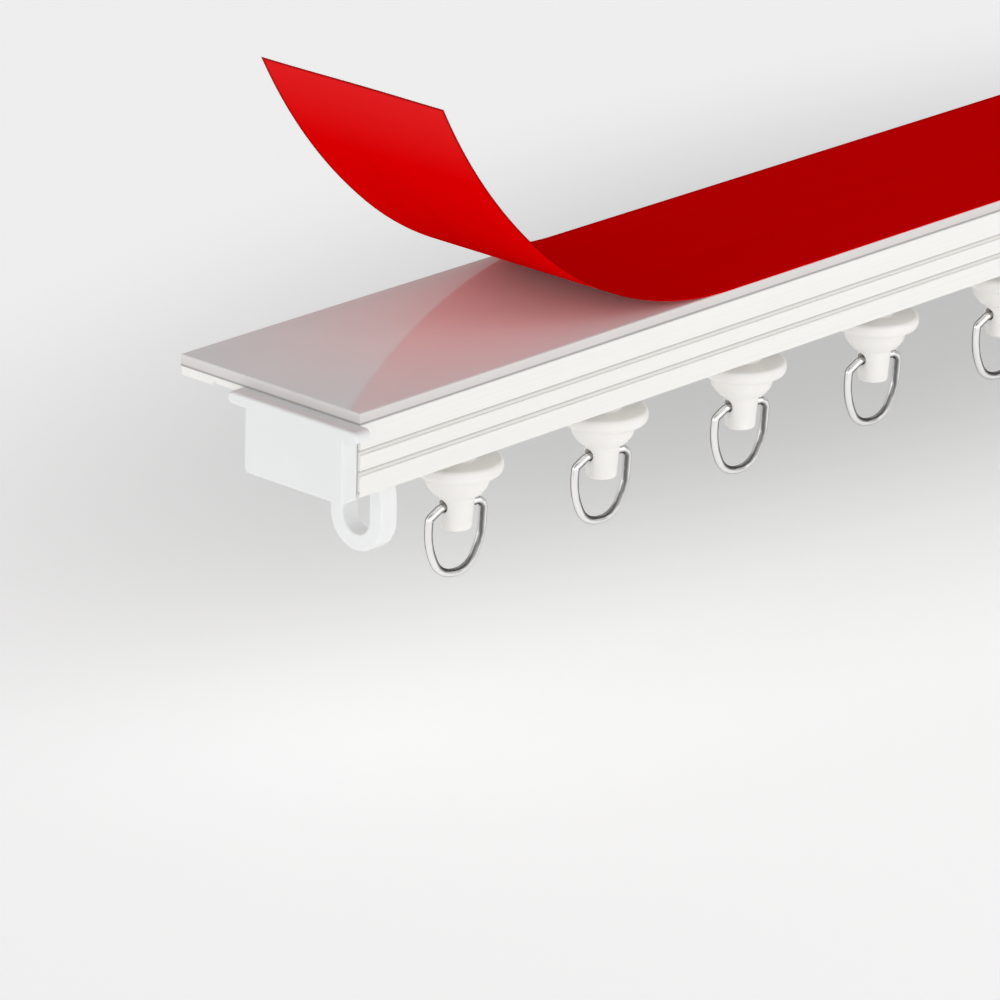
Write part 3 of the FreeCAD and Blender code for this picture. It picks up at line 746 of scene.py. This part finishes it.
def glider_profile():
    """Half section as (radius, height, rounding), from the top of the head down to the stem's tip."""
    head_top = HEAD_FOOT + HEAD_THICKNESS
    line = [
        (0, head_top, 0), (HEAD_RADIUS, head_top, HEAD_EDGE), (HEAD_RADIUS, HEAD_FOOT, INNER_CORNER),
        (NECK, HEAD_FOOT, INNER_CORNER), (NECK, DISC_TOP, NECK_FILLET),
        (DISC_RADIUS, DISC_TOP, DISC_TOP_EDGE), (DISC_RADIUS, DISC_FOOT, DISC_FOOT_EDGE),
        (BOWL_TOP_RADIUS, DISC_FOOT, INNER_CORNER), (BOWL_SIDE_RADIUS, BOWL_SIDE, BOWL_BELLY),
        (BOWL_FOOT_RADIUS, BOWL_FOOT, BOWL_EDGE), (STEM_TOP_RADIUS, BOWL_FOOT, INNER_CORNER),
        (STEM_TIP_RADIUS, STEM_TIP, STEM_EDGE), (0, STEM_TIP, 0)]
    return rounded(line, steps=6, wraps=False)


def spun(profile, sides):
    """A profile of (radius, height) spun round the Z axis: x = r cos(a), y = r sin(a)."""
    angle = np.linspace(0, 2 * np.pi, sides, endpoint=False)
    radius, height = profile[:, :1], profile[:, 1:]
    return np.stack([radius * np.cos(angle), radius * np.sin(angle), height + 0 * angle], 2)


def drill(mesh, height, radius, reach):
    """Cuts a round hole along X through a mesh, with a Boolean that is applied at once."""
    angle = np.linspace(0, 2 * np.pi, DRILL_SIDES, endpoint=False)
    circle = np.stack([radius * np.cos(angle), height + radius * np.sin(angle)], 1)
    bit = grid_mesh("drill", carried(circle, np.array([-reach, reach])), wrap_columns=True, lids=True)
    tool = bpy.data.objects.new("drill", tidy(bit, sharp_degrees=40))
    blank = bpy.data.objects.new("blank", mesh)
    for item in (tool, blank):
        bpy.context.scene.collection.objects.link(item)
    cut = blank.modifiers.new("hole", "BOOLEAN")
    cut.object, cut.operation, cut.solver = tool, "DIFFERENCE", "EXACT"
    bpy.context.view_layer.update()
    seen = blank.evaluated_get(bpy.context.evaluated_depsgraph_get())
    drilled = bpy.data.meshes.new_from_object(seen)
    for item in (tool, blank):
        bpy.data.objects.remove(item)
    return drilled


def hung(mesh, name, x):
    """A copy of a piece made on the glider's own axis, turned a little and moved to its place at x."""
    copy = mesh.copy()
    copy.name = name
    flat = np.empty(len(copy.vertices) * 3, np.float32)
    copy.vertices.foreach_get("co", flat)
    spot = flat.reshape(-1, 3).astype(float)
    c, s = math.cos(GLIDER_TURN), math.sin(GLIDER_TURN)
    turn = np.array([[c, -s, 0], [s, c, 0], [0, 0, 1]])
    spot = spot @ turn.T + np.array([x, SLOT_MIDDLE, LIP_FACE]) * MM
    copy.vertices.foreach_set("co", spot.astype(np.float32).ravel())
    return copy


turned_mesh = grid_mesh("glider_blank", spun(glider_profile(), GLIDER_SIDES), wrap_columns=True)
turned_mesh = tidy(turned_mesh, sharp_degrees=35)
glider_mesh = tidy(drill(turned_mesh, -HOLE_DROP, HOLE_RADIUS, DRILL_REACH), sharp_degrees=35)
for count, x in enumerate(glider_places, start=1):
    name = f"glider_{count}_moulding"
    place(name, hung(glider_mesh, name, x), acetal, f"glider_{count}", f"glider_{count}")
print(f"gliders: {len(glider_mesh.polygons)} faces each")

# %% [markdown]
# ## The rings
# Each ring is a length of 1.4 mm wire bent into a D. Its straight bar passes through the stem, one
# shoulder slopes, and the foot is nearly a half circle. A circle is carried round that closed line:
# at each point it stands square to the wire, with one direction in the ring's plane and the other
# across it. The bar hangs at the foot of its hole.

# %% Build the rings
WIRE, WIRE_CLEARANCE = 0.7, 0.05
BAR = -HOLE_DROP - HOLE_RADIUS + WIRE + WIRE_CLEARANCE
WAIST_DROP, RING_DROP = 5.9, 11.65
WAIST, FOOT = BAR - WAIST_DROP, BAR - RING_DROP
HALF_RING, HALF_FOOT, LEAN = 5.55, 2.95, 0.3
SHOULDER_OUT, SHOULDER_IN, SHOULDER_DROP = 5.5, 3.35, 1.4
CORNER_BEND, SIDE_BEND, FOOT_BEND, SHOULDER_BEND, BAR_BEND = 1.4, 12.0, 4.2, 0.8, 1.0
WIRE_SIDES = 28


def ring_line():
    """The wire's middle line as (x, z), with its bends rounded, from the bar round by the foot and back."""
    line = [
        (HALF_RING, BAR, CORNER_BEND), (HALF_RING - LEAN, WAIST, SIDE_BEND),
        (HALF_FOOT - LEAN, FOOT, FOOT_BEND), (-HALF_FOOT - LEAN, FOOT, FOOT_BEND),
        (-HALF_RING - LEAN, WAIST, SIDE_BEND), (-SHOULDER_OUT, BAR - SHOULDER_DROP, SHOULDER_BEND),
        (-SHOULDER_IN, BAR, BAR_BEND)]
    return rounded(line, steps=14)


def tube(line, radius, sides):
    """A round wire on a closed line in the X-Z plane: place + radius (cos(a) inwards + sin(a) Y)."""
    run = np.roll(line, -1, 0) - np.roll(line, 1, 0)
    run /= np.linalg.norm(run, axis=1)[:, None]
    nought = 0 * run[:, 0]
    middle = np.stack([line[:, 0], nought, line[:, 1]], 1)
    inwards = np.stack([run[:, 1], nought, -run[:, 0]], 1)
    angle = np.linspace(0, 2 * np.pi, sides, endpoint=False)[None, :, None]
    return middle[:, None] + radius * (inwards[:, None] * np.cos(angle) + np.array([0, 1, 0]) * np.sin(angle))


line = ring_line()
wire_points = tube(line, WIRE, WIRE_SIDES)
wire_step = (1 / len(line), 1 / WIRE_SIDES)
ring_mesh = grid_mesh("ring", wire_points, wrap_rows=True, wrap_columns=True, uv=wire_step)
ring_mesh = tidy(ring_mesh, sharp_degrees=60)
for count, x in enumerate(glider_places, start=1):
    name = f"ring_{count}_wire"
    place(name, hung(ring_mesh, name, x), wire, f"ring_{count}", f"ring_{count}")
length = np.linalg.norm(line - np.roll(line, 1, 0), axis=1).sum()
print(f"rings: {length:.1f} mm of wire each")

# %% [markdown]
# ## The end caps
# The caps are mouldings with a strip, a plate, a tongue and a hanging eye that run into each other,
# which suits the solid modeller better than a grid. So each cap is a copy of its own solid. The copy's
# loose triangles are merged into one skin, and its soft edges are shaded smooth.

# %% Build the end caps
for side in ("left", "right"):
    skin = tidy(nodes[f"end_cap_{side}"].data.copy(), sharp_degrees=30)
    skin.name = f"cap_{side}"
    cap = place(f"cap_{side}", skin, polypropylene, "track", f"end_cap_{side}")
    flatten_shading(cap)
    print(f"cap_{side}: {len(skin.polygons)} faces")

# %% [markdown]
# ## The floor
# A track is shown hanging, so the floor lies a little below the rings. It shines softly, as a lit table
# does, which keeps the undersides of the gliders pale. Nearly white pieces would drown in a white
# floor, so its glow fades in one broad soft pool behind the track, a painted shadow: a gradient that is
# stretched to an ellipse and smoothed at both ends.

# %% Floor
FLOOR = -62.0
# The floor's reach and its shade are in metres.
FLOOR_REACH = 20
SHADE_MIDDLE, SHADE_REACH = (0.11, 0.065), (0.34, 0.15)


def floor_paint():
    """Matt paint whose glow is weakest in the middle of the painted shadow and full outside it."""
    material, tree = new_material("floor_paint")
    point = add(tree, "ShaderNodeTexCoord", {}, "Object")
    around_shade = add(tree, "ShaderNodeMapping", {
        "Vector": point, "Scale": (1 / SHADE_REACH[0], 1 / SHADE_REACH[1], 0),
        "Location": (-SHADE_MIDDLE[0] / SHADE_REACH[0], -SHADE_MIDDLE[1] / SHADE_REACH[1], 0)}, "Vector")
    # Painted shadow: the glow fades towards the middle of the pool behind the track.
    shade = add(tree, "ShaderNodeTexGradient", {"Vector": around_shade}, "Fac", gradient_type="SPHERICAL")
    glow = add(tree, "ShaderNodeMapRange", {
        "Value": shade, "From Max": 0.8, "To Min": 0.45, "To Max": 0.15}, "Result",
        interpolation_type="SMOOTHSTEP")
    paint = add(tree, "ShaderNodeBsdfPrincipled", {
        "Base Color": linear("#E8E8E8"), "Roughness": 0.8, "Emission Color": linear("#FFFFFF"),
        "Emission Strength": glow}, "BSDF")
    add(tree, "ShaderNodeOutputMaterial", {"Surface": paint})
    return material


floor_corners = np.array([(-1, -1, 0), (1, -1, 0), (1, 1, 0), (-1, 1, 0)]) * FLOOR_REACH + [0, 0, FLOOR * MM]
floor_mesh = bpy.data.meshes.new("floor")
floor_mesh.from_pydata(floor_corners.tolist(), [], [(0, 1, 2, 3)])
floor_mesh.materials.append(floor_paint())
floor = bpy.data.objects.new("floor", floor_mesh)
bpy.context.scene.collection.objects.link(floor)
floor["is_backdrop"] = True
print(f"floor {-FLOOR:.0f} mm below the adhesive face")

# %% [markdown]
# ## Sky and lamp
# The photograph is lit from the side more than from above: the upright faces are nearly white, while
# the flat top of the film is a much darker red. So the sky is bright on the near left side, falls
# softly to less than half of that on the far side, and is dim overhead. Its brightness is worked out
# from the direction alone. A broad lamp in front adds the last of the brightness.

# %% Sky and lamp
TOWARDS_BRIGHT_SIDE = (-0.86, -0.51, 0.0)


def sky():
    """A white sky: brightness by the direction's share of the bright side, times a fall towards overhead."""
    world = bpy.data.worlds.new("sky")
    world.use_nodes = True
    tree = world.node_tree
    tree.nodes.clear()
    direction = add(tree, "ShaderNodeTexCoord", {}, "Generated")
    facing = add(tree, "ShaderNodeVectorMath", {
        0: direction, 1: TOWARDS_BRIGHT_SIDE}, "Value", operation="DOT_PRODUCT")
    height = add(tree, "ShaderNodeSeparateXYZ", {"Vector": direction}, "Z")
    sideways = add(tree, "ShaderNodeMapRange", {
        "Value": facing, "From Min": -0.2, "From Max": 0.6, "To Min": 0.65, "To Max": 1.7}, "Result",
        interpolation_type="SMOOTHSTEP")
    overhead = add(tree, "ShaderNodeMapRange", {"Value": height, "To Min": 1.0, "To Max": 0.18}, "Result")
    strength = add(tree, "ShaderNodeMath", {0: sideways, 1: overhead}, "Value", operation="MULTIPLY")
    shine = add(tree, "ShaderNodeBackground", {
        "Color": linear("#FFFFFF"), "Strength": strength}, "Background")
    add(tree, "ShaderNodeOutputWorld", {"Surface": shine})
    return world


def lamp(name, spot, aim, size, power):
    """A square soft lamp at a spot, turned towards what it lights."""
    light = bpy.data.lights.new(name, "AREA")
    light.size, light.energy = size, power
    item = bpy.data.objects.new(name, light)
    item.location = spot
    way = np.array(aim) - np.array(spot)
    tilt = math.acos(way[2] / np.linalg.norm(way)) - math.pi
    item.rotation_euler = (tilt, 0, math.atan2(way[1], way[0]) + math.pi / 2)
    bpy.context.scene.collection.objects.link(item)
    return item


bpy.context.scene.world = sky()
front_lamp = lamp("front_lamp", spot=(0.15, -0.5, 0.2), aim=(-0.05, 0, -0.01), size=0.35, power=0.42)
print(f"{front_lamp.name}: {front_lamp.data.size:.2f} m across, {front_lamp.data.energy:.2f} W")

# %% [markdown]
# ## Check the size
# The dressed track must fill the same box as the solids.

# %% Note the sizes
dressed_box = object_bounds()
apart = max(abs(a - b) for old, new in zip(cad_box, dressed_box) for a, b in zip(old, new))
print(f"boxes differ by at most {apart * 1000:.3f} mm")
